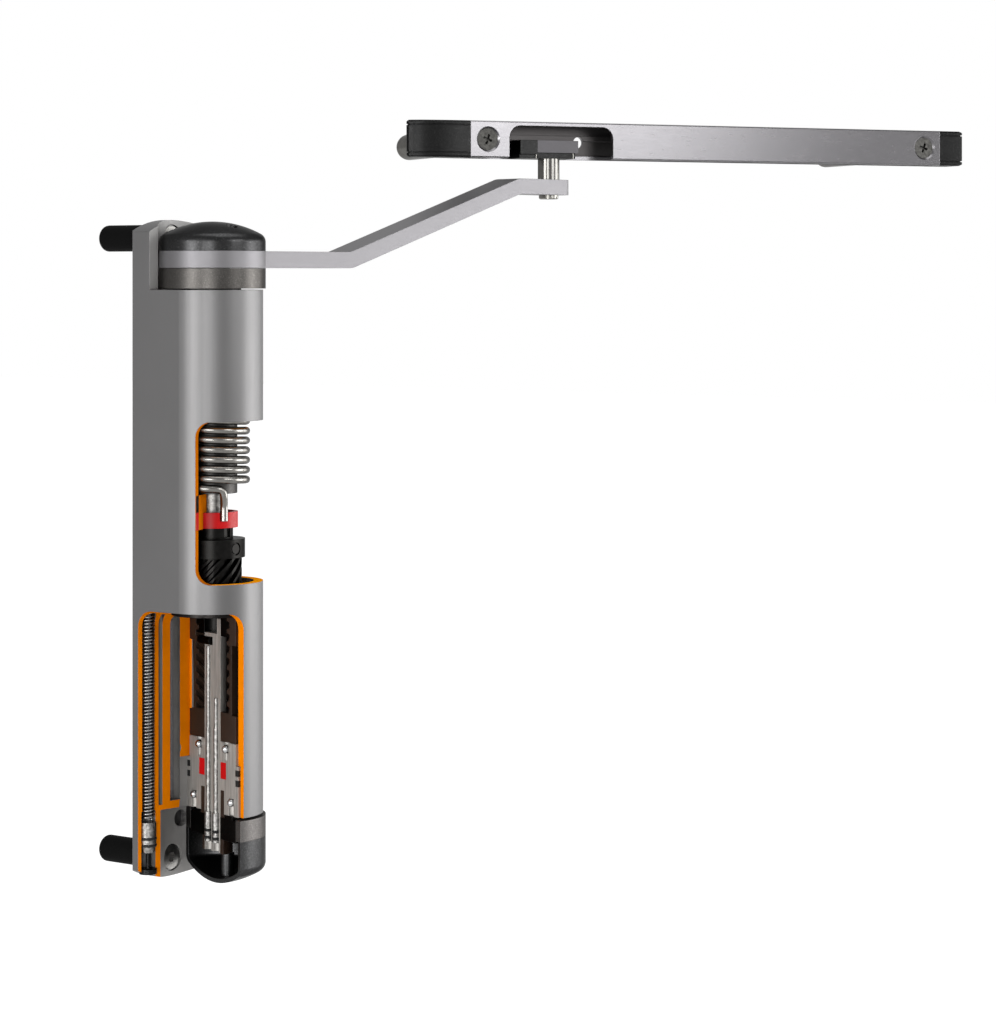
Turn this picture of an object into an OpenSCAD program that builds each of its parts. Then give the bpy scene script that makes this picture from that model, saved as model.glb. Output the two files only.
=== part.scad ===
// Post-mounted hydraulic gate closer with slide rail, shown as a cutaway.
// Frame: +Z up, origin on the mount face midway between the mount screws, +Y into the post.
// The pieces of the closer are modelled about the tube's own axis and placed by at_axis().

/* [Housing] */
// Outer radius of the tube, also half the width of the spine
tube_r = 30; // [28:0.5:32]
// Radius of the cylinder bore
bore_r = 24.5; // [23.5:0.1:25]
// Radius of the counterbore for the valve body
counterbore_r = 26.8; // [26:0.1:27.4]
// Height at which the counterbore starts
counterbore_z = -125; // [-127:0.5:-123.5]
// Distance from the tube's axis to the mount face
axis_depth = 37.5; // [37:0.5:42]
// Top of the full section
body_top = 154.6; // [150:0.2:160]
// Bottom of the full section
body_bottom = -155; // [-156:0.2:-154]
// Height of the mount plate's ends above and below the origin
plate_end = 196.3; // [195:0.1:205]
// Radius of the arc-shaped plate ends
plate_end_r = 65; // [45:1:90]
// Height of the side ribs above the mount face
rib_h = 14.5; // [12:0.5:16]
// Chamfer along the mount face
edge_chamfer = 1.2; // [0.5:0.1:2]
// Gap between the plate's round recess and the caps
recess_gap = 0.6; // [0.4:0.1:0.8]

/* [Cut windows] */
// Top of the upper window
upper_window_top = 77.4; // [60:0.1:90]
// Bottom of the upper window
upper_window_bottom = -17.8; // [-20:0.2:-12]
// Direction of the upper cut plane
upper_cut_angle = 23.5; // [20:0.5:26]
// Distance of the upper cut plane behind the tube's axis
upper_cut_offset = 1; // [0.5:0.1:1.5]
// Rounding of the upper window's corners
upper_fillet = 9; // [3:0.5:10]
// Top of the lower window
lower_window_top = -35; // [-36:0.5:-33]
// Direction of the lower window's side cut
side_cut_angle = 75; // [72:1:78]
// Distance of the housing's side cut from the tube's axis
side_cut_offset = 1.7; // [0.5:0.1:3]
// Direction of the lower window's back cut
back_cut_angle = -9.7; // [-12:0.1:-8]
// Distance of the back cut from the tube's axis
back_cut_distance = 26.5; // [26:0.1:27]
// Rounding of the lower window's corners
lower_fillet = 10; // [4:0.5:12]
// Direction of the cut through the bottom cap, ring and plug
cap_cut_angle = 71.5; // [64:0.5:75]

/* [Caps and arm ring] */
// Radius of the caps, the rings and the arm's hub
cap_r = 31.5; // [31:0.1:32]
// Underside of the bearing ring
ring_z = 155.3; // [155.2:0.1:155.8]
// Height of the bearing ring
ring_h = 12; // [10:0.5:14]
// Running gap between the bearing ring and the arm
ring_gap = 0.2; // [0.1:0.05:0.4]
// Thickness of the arm
arm_t = 10; // [8:0.5:12]
// Height of the top cap
top_cap_h = 17.5; // [15:0.5:20]
// Top of the bottom ring
bottom_ring_z = -156.2; // [-156.6:0.1:-155.6]
// Height of the bottom ring
bottom_ring_h = 12.4; // [10:0.2:14]
// Height of the bottom cap
bottom_cap_h = 28; // [25:0.5:32]
// Crown radius of both caps
dome_r = 60; // [50:1:80]
// Rounding between crown and side of both caps
dome_corner_r = 5.5; // [5:0.5:9]
// Wall of the caps
cap_wall = 2.6; // [2:0.1:3.5]

/* [Arm] */
// Length from the tube's axis to the arm pin
arm_len = 293.1; // [260:0.1:330]
// Direction of the arm in the closed position
arm_angle = -8.3; // [-20:0.1:0]
// Width of the arm
arm_w = 21; // [18:0.5:24]
// Length of the arm beyond its pin
arm_tip = 12.3; // [10:0.1:15]
// Rounding of the corners at the arm's end
arm_corner_r = 7; // [3:0.5:9]
// Where the lower run ends
arm_bend_in = 101.5; // [80:0.5:120]
// Where the upper run starts
arm_bend_out = 257; // [225:1:262]
// How far the upper run lies above the lower one
arm_rise = 48.9; // [40:0.1:60]
// Rounding of the bends
arm_bend_r = 9; // [4:1:15]
// Radius of the arm pin
pin_r = 7.2; // [6:0.1:7.3]
// Radius of the pin's stud through the arm
pin_stud_r = 5; // [4:0.1:5.6]
// Height of the riveted end under the arm
pin_nut_h = 2.8; // [2:0.1:4]
// Gap between the arm and the rail
rail_gap = 13.75; // [8:0.05:20]

/* [Shaft and torsion spring] */
// Radius of the shaft below the bush
shaft_r = 8.35; // [7.8:0.05:8.6]
// Radius of the shaft in the bush
journal_r = 10; // [9.5:0.1:11]
// Wall of the top bush
bush_wall = 3; // [2:0.1:4]
// Wire diameter of the torsion spring
coil_wire = 4.7; // [4:0.1:5]
// Outer radius of the torsion spring
coil_outer_r = 22.3; // [21.5:0.1:22.8]
// Turns of the torsion spring
coil_turns = 17; // [14:1:17]
// Height of the lowest turn
coil_low_z = 37.3; // [36.5:0.1:38]
// Pitch of the torsion spring
coil_pitch = 5.79; // [5.5:0.01:5.85]
// Radius on which the spring's lower leg stands
leg_r = 15; // [14.6:0.1:15.2]
// Direction of the spring's legs where they leave the turns
leg_angle = -117; // [-122:0.5:-114]
// Direction of the lower leg's foot in the collar
foot_angle = -112.3; // [-118:0.1:-108]
// Outer radius of the spring's inner sleeve
mandrel_r = 14.7; // [13.5:0.1:14.9]
// Wall of the spring's inner sleeve
mandrel_wall = 3; // [2:0.1:4]
// Radius of the drive collar
drive_collar_r = 19.3; // [18.8:0.1:20]
// Underside of the drive collar
drive_collar_z = -3.6; // [-4:0.1:-3.2]

/* [Lead screw and piston] */
// Crest radius of the lead screw
screw_r = 17.4; // [17:0.1:17.6]
// Depth of the screw's thread
thread_depth = 2.8; // [2.4:0.1:3]
// Number of starts
thread_starts = 14; // [12:1:15]
// Lead of the thread
thread_lead = 100; // [90:1:107]
// Gap between the threads of screw and nut
thread_gap = 0.4; // [0.35:0.05:0.5]
// Lower end of the lead screw
screw_end_z = -50; // [-50.5:0.1:-49]
// Underside of the piston nut
piston_z = -112; // [-112.2:0.1:-111.8]
// Length of the piston nut
piston_len = 74.4; // [73:0.2:75]
// Running clearance of pistons, bushes and pins, on the radius
run_gap = 0.08; // [0.05:0.01:0.1]

/* [Valve column] */
// Radius of the central column
column_r = 8.35; // [8.2:0.05:8.5]
// Lower end of the column
column_end_z = -178.2; // [-179:0.1:-177]
// Distance of the adjusting rods from the tube's axis
rod_offset = 4; // [3.9:0.1:4.1]
// Radius of the adjusting rods
rod_r = 1.7; // [1.5:0.1:1.9]
// Radius of the adjusting rods' heads
rod_head_r = 2.6; // [2.4:0.1:2.7]
// Inner bore gap of the rods
rod_gap = 0.1; // [0.08:0.01:0.15]

/* [Compensator] */
// Sideways place of the compensator bore
comp_x = -22.3; // [-22.6:0.1:-22]
// Distance of the compensator bore from the mount face
comp_depth = 6.5; // [6.4:0.1:6.8]
// Radius of the bore round the compensator spring
comp_bore_r = 4.7; // [4.6:0.05:4.8]
// Radius of the bore round the compensator piston
comp_wide_r = 5.3; // [5.2:0.05:5.4]
// Wire diameter of the compensator spring
comp_wire = 1.2; // [1:0.05:1.3]
// Outer radius of the compensator spring
comp_spring_r = 3.9; // [3.7:0.1:4.1]
// Pitch of the compensator spring
comp_pitch = 2; // [1.9:0.05:2]
// Turns of the compensator spring
comp_turns = 66; // [60:1:66]
// Top of the compensator piston
comp_piston_z = -161; // [-162:0.1:-160.5]
// Length of the compensator piston
comp_piston_len = 17.8; // [17.4:0.1:18]

/* [Mount] */
// Spacing of the mount screws
mount_spacing = 371; // [368:0.5:372]
// Radius of the mount screws' thread
mount_thread_r = 4; // [3.5:0.1:4.2]
// Radius of the mount screws' heads
mount_head_r = 7.3; // [7:0.1:7.6]
// Thickness of the post's wall, between the mount face and the sleeves
post_wall = 3; // [2.5:0.5:6]
// Radius of the sleeves inside the post
sleeve_r = 8; // [7:0.1:9]
// Length of the sleeves
sleeve_len = 45; // [40:1:70]

/* [Rail] */
// Height of the rail
rail_h = 24.1; // [23.5:0.1:28]
// Depth of the rail
rail_w = 23; // [22.6:0.1:24]
// Wall of the rail
rail_wall = 2; // [1.8:0.1:2.1]
// Direction of the rail in the closed position
rail_angle = -30.5; // [-40:0.5:-20]
// Left end of the rail profile, from the arm pin
rail_start = -61.2; // [-64:0.1:-60]
// Right end of the rail profile, from the arm pin
rail_end = 296.8; // [294:0.1:330]
// Length of the rounded left end cap
rail_cap_left_len = 40.5; // [30:0.5:50]
// Length of the right end cap
rail_cap_right_len = 19.2; // [14:0.1:25]
// Distance of the through-bolts from the ends of the rail profile
rail_bolt_inset = 12.5; // [11.5:0.5:14]
// Half width of the slot under the rail
rail_slot_half = 7.8; // [7.6:0.1:8]
// Left edge of the rail's window, from the arm pin
rail_window_start = -33.6; // [-36:0.1:-30]
// Right edge of the rail's window, from the arm pin
rail_window_end = 42.2; // [36:0.1:60]
// Length of the through-bolts and sleeve nuts behind the rail's front
rail_bolt_reach = 145; // [120:1:160]
// Radius of the sleeve nuts
sleeve_nut_r = 9; // [8:0.1:10]

/* [Hidden] */
$fn = 96;

// Longer than any piece, for cuts that run out of it
far = 500;
// Cuts pass the faces that they open by this much
cut = 1;

// Colours as photographed
silver = "silver";
satin = [0.62, 0.61, 0.61];
black = [0.12, 0.12, 0.12];
brown = [0.16, 0.1, 0.07];
cast = [0.6, 0.56, 0.53];
steel = [0.75, 0.74, 0.72];
red = [0.75, 0.08, 0.08];
brass = [0.72, 0.58, 0.3];

// Gap round pieces that are fitted and don't move
fit_gap = 0.05;

// The cuts through the inner pieces, as directions that leave the removed side on the right
inner_cut_angle = side_cut_angle + 180;
cap_side_angle = cap_cut_angle + 180;
// The cut through the bottom pieces passes the axis by this much
cap_cut_offset = 0.3;

// Stack of the top end
ring_top = ring_z + ring_h;
arm_z = ring_top + ring_gap;
arm_top = arm_z + arm_t;
recess_r = cap_r + recess_gap;
// Carrier of the top bush inside the bore
carrier_h = 8;
carrier_z = body_top - carrier_h;
// Hole in the top cap
cap_hole_r = 3.4;
cap_hole_at = 18;
cap_hole_angle = -99.6;
// Neck of the bearing ring, where light shows through under the ring
ring_neck_r = 17;
// Square drive between shaft and arm, and the screw that clamps the arm
drive_square = 14;
arm_screw_r = 4;
arm_screw_head_r = 6.5;
arm_screw_head_h = 6;
arm_screw_len = 22;

// Stack of the torsion spring
coil_r = coil_outer_r - coil_wire / 2;
coil_top_z = coil_low_z + coil_turns * coil_pitch;
leg_len = 9;
driver_gap = 0.3;
driver_z = coil_top_z + coil_wire / 2 + driver_gap;
driver_h = carrier_z - driver_z - driver_gap;
driver_r = bore_r - 1;
leg_hole_r = coil_wire / 2 + 0.2;
mandrel_z = coil_low_z - 3;
shaft_end_z = -30;

// Anchor of the spring's lower leg
anchor_top = 34.1;
anchor_bottom = 13.85;
anchor_step = 23.4;
tab_rise = 0.9;
anchor_collar_r = 15.1;
anchor_collar_wall = 2.2;
key_w = 8;
key_depth = 4.3;
leg_end_z = 18.3;
leg_jog_top = 33.7;
leg_jog_end = 27.5;
slot_slack = 0.2;

// Drive collar and its pin
neck_r = 12.2;
neck_reach = 0.6;
neck_top = anchor_bottom + neck_reach;
collar_top = 7.4;
collar_pin_r = 3;
collar_pin_z = 1.9;
collar_pin_angle = -92.5;
neck_slot_w = 5;
neck_slot_angle = collar_pin_angle;

// Thread, drawn as one outline that is twisted along the lead
thread_phase_z = -56.75;
thread_step = 13;
crest_half = 4.5;
root_half = 8;
thread_slack = 1.5;
screw_root_r = screw_r - thread_depth;
screw_bore_r = column_r + 0.25;
screw_top = drive_collar_z;
// The screw is cut open below this height, like the pieces round it
screw_cut_z = -36;

// Piston nut: two guiding collars with a narrower waist
piston_top = piston_z + piston_len;
piston_r = bore_r - 0.3;
waist_r = 20;
piston_collar_h = 16;
piston_head_h = 17;
thread_bottom = piston_z + 17;
guide_h = 3.5;
guide_gap = 0.3;
guide_bore_r = drive_collar_r + guide_gap;

// Column and rods
column_top = -49.1;
tongue_top = -40;
tongue_wall = 3.6;
tongue_inner = 3;
cross_pin_r = 2.4;
cross_pin_z = -53.8;
cross_pin_reach = 13;
rod_top = -105;
speed_needle_top = -57;
latch_needle_top = -87.2;
needle_r = 1.35;
rod_head_top = -155;
rod_head_end = -172.6;
ring_r = 0.85;
rod_ring_out = rod_head_r + rod_gap / 2;
rod_ring_in = rod_ring_out - 2 * ring_r - fit_gap / 2;
rod_rings = [-166, -170.2];
slot_w = 1;
slot_d = 1.2;

// Valve body
valve_top = piston_z - 0.3;
valve_step = counterbore_z - 0.2;
valve_end = body_bottom;
valve_r = counterbore_r - 0.1;
insert_top = -124.4;
insert_end = -134.2;
insert_r = 14.1;
column_bush_r = 12.1;
column_bush_top = -141;
groove_zs = [-129.2, -135.2];
groove_h = 3.8;
groove_d = 3;
seal_slack = 0.15;
check_r = 2.5;
check_offset = 14;
check_z = -116.2;
check_depth = 7;
ball_plug_r = 2.4;
ball_plug_offset = 19.6;
ball_plug_z = -147;

// Bottom end
plug_top = -157;
plug_end = -170;
plug_r = 26;
column_nut_r = 12;
column_nut_end = -178.6;
boss_r = 4;
boss_offset = 10.5;
boss_top = -180.4;

// Compensator
comp_y = axis_depth - comp_depth;
comp_spring_top = comp_piston_z + comp_turns * comp_pitch + 2 * comp_wire;
comp_piston_r = comp_wide_r - run_gap;
comp_ring_zs = [-170.5, -174.6];
comp_plug_top = -188.6;
comp_plug_end = -191.6;
comp_stem_r = 1.4;
comp_stem_gap = 0.3;
comp_ring_r = 0.75;
comp_ring_out = comp_wide_r - fit_gap;
comp_groove_r = comp_ring_out - 2 * comp_ring_r - fit_gap;
comp_wide_z = body_bottom + 0.5;

// Oil channel and lightening slot behind the bore, and the port between channel and bore
channel_r = 5.2;
channel_x = -1.9;
channel_y = 30.9;
channel_bottom = -150.5;
channel_top = 96;
port_r = 3.9;
port_z = -119.6;
upper_port_z = 90;
slot_x = -13.4;
slot_half = 1.45;
slot_y0 = 26.6;
slot_y1 = 33.4;
slot_bottom = -152;
slot_top = 60;
side_hole_r = 5;
side_hole_x = 7.3;
side_hole_z = -162.9;
side_hole_depth = 3.2;

// Mount screws
mount_z = mount_spacing / 2;
mount_head_h = mount_head_r - mount_thread_r;
mount_seat_gap = 0.75;
mount_seat_y = recess_r + 0.3;
mount_socket_r = 3;
mount_screw_len = 34;
sleeve_round = 3;
sleeve_bore_end = 33;

// Arm pin and rail
upper_arm_z = arm_z + arm_rise;
upper_arm_top = upper_arm_z + arm_t;
rail_z = upper_arm_top + rail_gap;
rail_top = rail_z + rail_h;
rail_lip = 2.6;
rail_half = rail_w / 2;
rail_in = rail_half - rail_wall;
rail_mid_z = rail_z + rail_h / 2;
rail_window_top = rail_top - 2.7;
rail_window_r = 8;
rail_bolt_r = 4;
rail_head_r = 7.2;
rail_seat_r = 8.3;
rail_bolt_gap = 0.3;
rail_bolt_len = 118;
sleeve_nut_len = 70;
sleeve_nut_bore_end = 128;
recess_len = 6.6;
recess_w = 1.6;
recess_d = 2.4;
rail_bolt_xs = [rail_start + rail_bolt_inset, rail_end - rail_bolt_inset];
back_hole_r = 3.8;
back_hole_x = 25.6;
back_hole_drop = 0.3;
slider_gap = 0.2;
slider_start = -24.6;
slider_end = 15.8;
slider_step = -12.2;
slider_plate_end = 17.4;
slider_z = rail_z + 0.2;
plate_z = rail_z + rail_lip + 1.4;
plate_top_z = plate_z + 8.1;
pin_head_r = 4;
slider_pin_r = 1;
slider_pin_xs = [-12.5, 14.5];
slider_pin_y = slider_gap + slider_pin_r - rail_slot_half;
slider_half = rail_in - 0.3;
// Ridge along both inner walls of the rail, above the slider
ridge_z = plate_top_z + 0.6;
ridge_h = 3.4;
// Plugs of the end caps inside the rail, and the seam grooves round the caps
insert_left_len = 21;
insert_right_len = 17.8;
cap_corner_r = 2;
seam_in = 2.6;
seam_w = 0.8;
seam_d = 0.8;
rim_h = 0.5;
rim_d = 1.2;

// Puts a piece that is modelled about the tube's axis in the part's frame
module at_axis() {
  translate([0, -axis_depth, 0]) children();
}

// Puts a piece that is modelled about the arm pin, with the rail along X, in the part's frame
module at_rail() {
  at_axis()
    rotate([0, 0, arm_angle])
      translate([arm_len, 0, 0])
        rotate([0, 0, rail_angle - arm_angle]) children();
}

// Puts a piece at a distance along the section plane from the tube's axis
module on_section(offset) {
  rotate([0, 0, side_cut_angle]) translate([offset, 0, 0]) children();
}

// Ring about Z from radius a to radius b, between two heights
module ring(a, b, z0, z1) {
  rotate_extrude() translate([a, z0]) square([b - a, z1 - z0]);
}

// Points of an arc
function arc(c, r, a0, a1, n) =
  [for (i = [0 : n]) let (a = a0 + (a1 - a0) * i / n) c + r * [cos(a), sin(a)]];

function unit(v) = v / norm(v);

// Removes the part of a piece that lies right of a plane along the axis, below the height top
module section_cut(angle, top = far, behind = 0) {
  difference() {
    children();
    rotate([0, 0, angle]) translate([-far, behind - 2 * far, top - 2 * far]) cube(2 * far);
  }
}

// Solid of an outline in Y and Z that runs along X between two places
module along_x(x0, x1) {
  translate([x0, 0, 0]) rotate([90, 0, 90]) linear_extrude(x1 - x0) children();
}

// Tube along a list of points, with rings that face the points' tangents
module wire(points, r, sides) {
  last = len(points) - 1;
  rings = [for (i = [0 : last])
    let (
      along = unit(points[min(i + 1, last)] - points[max(i - 1, 0)]),
      out = unit([points[i][0], points[i][1], 0]),
      side = unit(cross(along, out)),
      up = cross(side, along))
    [for (k = [0 : sides - 1]) points[i] + r * (cos(k * 360 / sides) * up + sin(k * 360 / sides) * side)]];
  polyhedron(
    points = [for (one = rings) for (p = one) p],
    faces = concat(
      [for (i = [0 : last - 1]) for (k = [0 : sides - 1])
        [i * sides + k, (i + 1) * sides + k, i * sides + (k + 1) % sides]],
      [for (i = [0 : last - 1]) for (k = [0 : sides - 1])
        [i * sides + (k + 1) % sides, (i + 1) * sides + k, (i + 1) * sides + (k + 1) % sides]],
      [for (k = [1 : sides - 2]) [0, k, k + 1]],
      [for (k = [1 : sides - 2]) [last * sides, last * sides + k + 1, last * sides + k]]));
}

// Least gap of a wound wire to its own next turns, measured on the points of its middle line
function own_gap(points, wire_d, first, span) =
  min([for (i = [0 : len(points) - first - 1])
    for (j = [i + first : min(i + span, len(points) - 1)])
      norm(points[i] - points[j])]) - wire_d;

// Housing

// Cross-section of tube and spine
module body_outline() {
  circle(tube_r);
  polygon([
    [-tube_r, 0],
    [tube_r, 0],
    [tube_r, axis_depth - edge_chamfer],
    [tube_r - edge_chamfer, axis_depth],
    [edge_chamfer - tube_r, axis_depth],
    [-tube_r, axis_depth - edge_chamfer]]);
}

// Cross-section of the mount plate beyond the full section
module plate_outline() {
  intersection() {
    body_outline();
    translate([-tube_r, axis_depth - rib_h]) square([2 * tube_r, rib_h]);
  }
}

// Face view of the upper half of the mount plate, with its arc-shaped end
module plate_face() {
  intersection() {
    translate([-tube_r, 0]) square([2 * tube_r, plate_end]);
    union() {
      translate([0, plate_end - plate_end_r]) circle(plate_end_r);
      translate([-tube_r, 0]) square([2 * tube_r, plate_end - plate_end_r]);
    }
  }
}

// Upper half of the mount plate
module plate_half() {
  intersection() {
    linear_extrude(plate_end) plate_outline();
    rotate([90, 0, 0]) translate([0, 0, -axis_depth - cut]) linear_extrude(axis_depth + cut) plate_face();
  }
}

// Cutter of the upper window: what lies right of the upper cut plane
module upper_window() {
  edge = upper_cut_offset - upper_fillet;
  rotate([0, 0, upper_cut_angle])
    along_x(-far / 2, far / 2)
      polygon(concat(
        arc([edge, upper_window_bottom + upper_fillet], upper_fillet, -90, 0, 8),
        arc([edge, upper_window_top - upper_fillet], upper_fillet, 0, 90, 8),
        [[-far, upper_window_top]],
        [[-far, upper_window_bottom]]));
}

// Cuts a piece of the anchor at the same plane as the upper window
module anchor_cut() {
  section_cut(upper_cut_angle, behind = upper_cut_offset) children();
}

// Cutter with a rounded upper corner that runs along the plane at this angle
module corner_cutter(angle, distance) {
  rotate([0, 0, angle])
    along_x(-far / 2, far / 2)
      polygon(concat(
        arc([distance - lower_fillet, lower_window_top - lower_fillet], lower_fillet, 0, 90, 10),
        [[-far, lower_window_top]],
        [[-far, -far]],
        [[distance, -far]]));
}

// Cutter of the lower window, between the back cut and the side cut
module lower_window() {
  intersection() {
    corner_cutter(back_cut_angle, back_cut_distance);
    corner_cutter(inner_cut_angle, side_cut_offset);
  }
}

// Countersunk hole for a mount screw, open to the front
module mount_hole() {
  translate([0, mount_seat_y, 0])
    rotate([-90, 0, 0]) {
      translate([0, 0, -2 * mount_head_h])
        cylinder(r = mount_head_r + mount_seat_gap, h = 2 * mount_head_h + mount_seat_gap);
      cylinder(r1 = mount_head_r, r2 = mount_thread_r, h = mount_head_h);
      cylinder(r = mount_thread_r + 2 * fit_gap, h = axis_depth);
    }
}

module housing() {
  color(satin)
    at_axis()
      difference() {
        union() {
          translate([0, 0, body_bottom]) linear_extrude(body_top - body_bottom) body_outline();
          plate_half();
          mirror([0, 0, 1]) plate_half();
        }
        translate([0, 0, -far / 2]) cylinder(r = bore_r, h = far);
        translate([0, 0, counterbore_z - far]) cylinder(r = counterbore_r, h = far);
        translate([0, 0, body_top]) cylinder(r = recess_r, h = far);
        translate([0, 0, body_bottom - far]) cylinder(r = recess_r, h = far);
        for (side = [-1, 1]) translate([0, 0, side * mount_z]) mount_hole();
        oil_channel();
        compensator_bore();
        side_hole();
        keyway();
        upper_window();
        lower_window();
      }
}

// Oil channel behind the bore with its two ports, and the blind slot beside it
module oil_channel() {
  translate([channel_x, channel_y, channel_bottom])
    cylinder(r = channel_r, h = channel_top - channel_bottom);
  for (z = [port_z, upper_port_z])
    translate([channel_x, 0, z]) rotate([-90, 0, 0]) cylinder(r = port_r, h = channel_y);
  translate([slot_x - slot_half, slot_y0, slot_bottom])
    cube([2 * slot_half, slot_y1 - slot_y0, slot_top - slot_bottom]);
}

module compensator_bore() {
  translate([comp_x, comp_y, -far]) cylinder(r = comp_bore_r, h = far + comp_spring_top);
  translate([comp_x, comp_y, -far]) cylinder(r = comp_wide_r, h = far + comp_wide_z);
}

// Blind hole in the floor of the lower recess
module side_hole() {
  translate([side_hole_x, 0, side_hole_z])
    rotate([-90, 0, 0]) cylinder(r = side_hole_r, h = recess_r + side_hole_depth);
}

// Groove in the bore for the keys of the anchor ring
module keyway() {
  rotate([0, 0, upper_cut_angle + 180])
    translate([0, -key_w / 2, anchor_bottom]) cube([bore_r + key_depth, key_w, anchor_top - anchor_bottom]);
}

// Cuts a piece of the bottom end at the plane they share
module bottom_cut() {
  section_cut(cap_side_angle, behind = cap_cut_offset) children();
}

// Top end

module bearing_ring() {
  inner = journal_r + run_gap + bush_wall;
  color(black)
    at_axis()
      rotate_extrude()
        polygon([
          [inner, carrier_z],
          [bore_r - fit_gap, carrier_z],
          [bore_r - fit_gap, body_top],
          [ring_neck_r, body_top],
          [ring_neck_r, ring_z],
          [cap_r, ring_z],
          [cap_r, ring_top],
          [inner, ring_top]]);
}

module top_bush() {
  color(brass) at_axis() ring(journal_r + run_gap, journal_r + run_gap + bush_wall, carrier_z, ring_top);
}

// Half outline of a domed cap that stands on z = 0 with this height, grown inwards by a wall
module dome_outline(h, wall) {
  r = cap_r - wall;
  crown = dome_r - wall;
  corner = dome_corner_r - wall;
  rise = sqrt(pow(crown - corner, 2) - pow(r - corner, 2));
  square([r, h - dome_r + rise]);
  intersection() {
    union() {
      translate([r - corner, h - dome_r + rise]) circle(corner);
      intersection() {
        translate([0, h - dome_r]) circle(crown);
        polygon(
          [[0, 0], [r - corner, h - dome_r + rise], [(r - corner) * 2, h - dome_r + 2 * rise], [0, 2 * h]]);
      }
    }
    square([r, h]);
  }
}

module dome(h) {
  rotate_extrude()
    difference() {
      dome_outline(h, 0);
      translate([0, -cut]) dome_outline(h + cut, cap_wall);
    }
}

module top_cap() {
  color(black)
    at_axis()
      translate([0, 0, arm_top])
        difference() {
          dome(top_cap_h);
          rotate([0, 0, cap_hole_angle])
            translate([cap_hole_at, 0, 0]) cylinder(r = cap_hole_r, h = 2 * top_cap_h);
        }
}

module hex_screw_head(r, h) {
  difference() {
    cylinder(r = r, h = h);
    translate([0, 0, h / 2]) cylinder(r = r / 2, h = h, $fn = 6);
  }
}

module arm_screw() {
  color(steel)
    at_axis()
      translate([0, 0, arm_top]) {
        hex_screw_head(arm_screw_head_r, arm_screw_head_h);
        translate([0, 0, -arm_screw_len]) cylinder(r = arm_screw_r, h = arm_screw_len);
      }
}

// Arm, drawn along X and turned to its direction

// Side view of the bent arm, whose bends are arcs about one centre for both faces
module arm_side() {
  run = arm_bend_out - arm_bend_in;
  rise = arm_rise - 2 * arm_bend_r - arm_t;
  both = 2 * arm_bend_r + arm_t;
  slope = atan2(rise, run) + asin(both / norm([run, rise]));
  low = [arm_bend_in, arm_t + arm_bend_r];
  high = [arm_bend_out, arm_rise - arm_bend_r];
  tip = arm_len + arm_tip;
  polygon(concat(
    [[0, 0]],
    arc(low, arm_bend_r + arm_t, -90, slope - 90, 5),
    arc(high, arm_bend_r, slope + 90, 90, 5),
    [[tip, arm_rise]],
    [[tip, arm_rise + arm_t]],
    arc(high, arm_bend_r + arm_t, 90, slope + 90, 5),
    arc(low, arm_bend_r, slope - 90, -90, 5),
    [[0, arm_t]]));
}

// Top view of the arm, with rounded corners at its end
module arm_plan() {
  inner = arm_w / 2 - arm_corner_r;
  translate([0, -arm_w / 2]) square([arm_len + arm_tip - arm_corner_r, arm_w]);
  translate([0, -inner]) square([arm_len + arm_tip, 2 * inner]);
  for (side = [-1, 1]) translate([arm_len + arm_tip - arm_corner_r, side * inner]) circle(arm_corner_r);
}

module arm() {
  color(silver)
    at_axis()
      rotate([0, 0, arm_angle])
        translate([0, 0, arm_z])
          difference() {
            union() {
              cylinder(r = cap_r, h = arm_t);
              intersection() {
                translate([0, far / 2, 0]) rotate([90, 0, 0]) linear_extrude(far) arm_side();
                linear_extrude(far) arm_plan();
              }
            }
            translate([0, 0, arm_t / 2])
              cube([drive_square + 2 * fit_gap, drive_square + 2 * fit_gap, 2 * arm_t], center = true);
            translate([arm_len, 0, 0]) cylinder(r = pin_stud_r + fit_gap, h = far);
          }
}

module arm_pin() {
  color(steel)
    at_rail() {
      translate([0, 0, upper_arm_z - pin_nut_h]) cylinder(r = pin_stud_r, h = arm_t + pin_nut_h + cut);
      translate([0, 0, upper_arm_top]) cylinder(r = pin_r, h = plate_z - slider_gap - upper_arm_top);
      translate([0, 0, upper_arm_top]) cylinder(r = pin_head_r, h = plate_top_z - cut - upper_arm_top);
    }
}

// Riveted nut under the arm, with notches round its rim
module pin_nut() {
  rim = pin_r - 0.7;
  color(steel)
    at_rail()
      translate([0, 0, upper_arm_z - pin_nut_h])
        difference() {
          rotate_extrude()
            polygon([
              [pin_stud_r + fit_gap, 0],
              [rim - pin_nut_h / 4, 0],
              [rim, pin_nut_h / 4],
              [rim, pin_nut_h],
              [pin_stud_r + fit_gap, pin_nut_h]]);
          for (i = [0 : 5])
            rotate([0, 0, 60 * i]) translate([rim, 0, 0]) cube([1, 1.2, 4 * pin_nut_h / 3], center = true);
        }
}

// Shaft, spring and their carriers

module spindle_shaft() {
  color(steel)
    at_axis()
      difference() {
        union() {
          translate([0, 0, shaft_end_z]) cylinder(r = shaft_r, h = carrier_z - shaft_end_z);
          translate([0, 0, carrier_z]) cylinder(r = journal_r, h = ring_top - carrier_z);
          rotate([0, 0, arm_angle])
            translate([-drive_square / 2, -drive_square / 2, carrier_z])
              cube([drive_square, drive_square, arm_top - ring_gap - carrier_z]);
        }
        translate([0, 0, arm_top - arm_screw_len - cut]) cylinder(r = arm_screw_r + fit_gap, h = far);
        pin_hole(collar_pin_r + fit_gap);
      }
}

module spring_driver() {
  color(black)
    at_axis()
      difference() {
        ring(shaft_r + fit_gap, driver_r, driver_z, driver_z + driver_h);
        rotate([0, 0, leg_angle]) translate([coil_r, 0, driver_z - cut]) cylinder(r = leg_hole_r, h = far);
      }
}

module spring_mandrel() {
  color(black) at_axis() ring(mandrel_r - mandrel_wall, mandrel_r, mandrel_z, driver_z);
}

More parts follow.
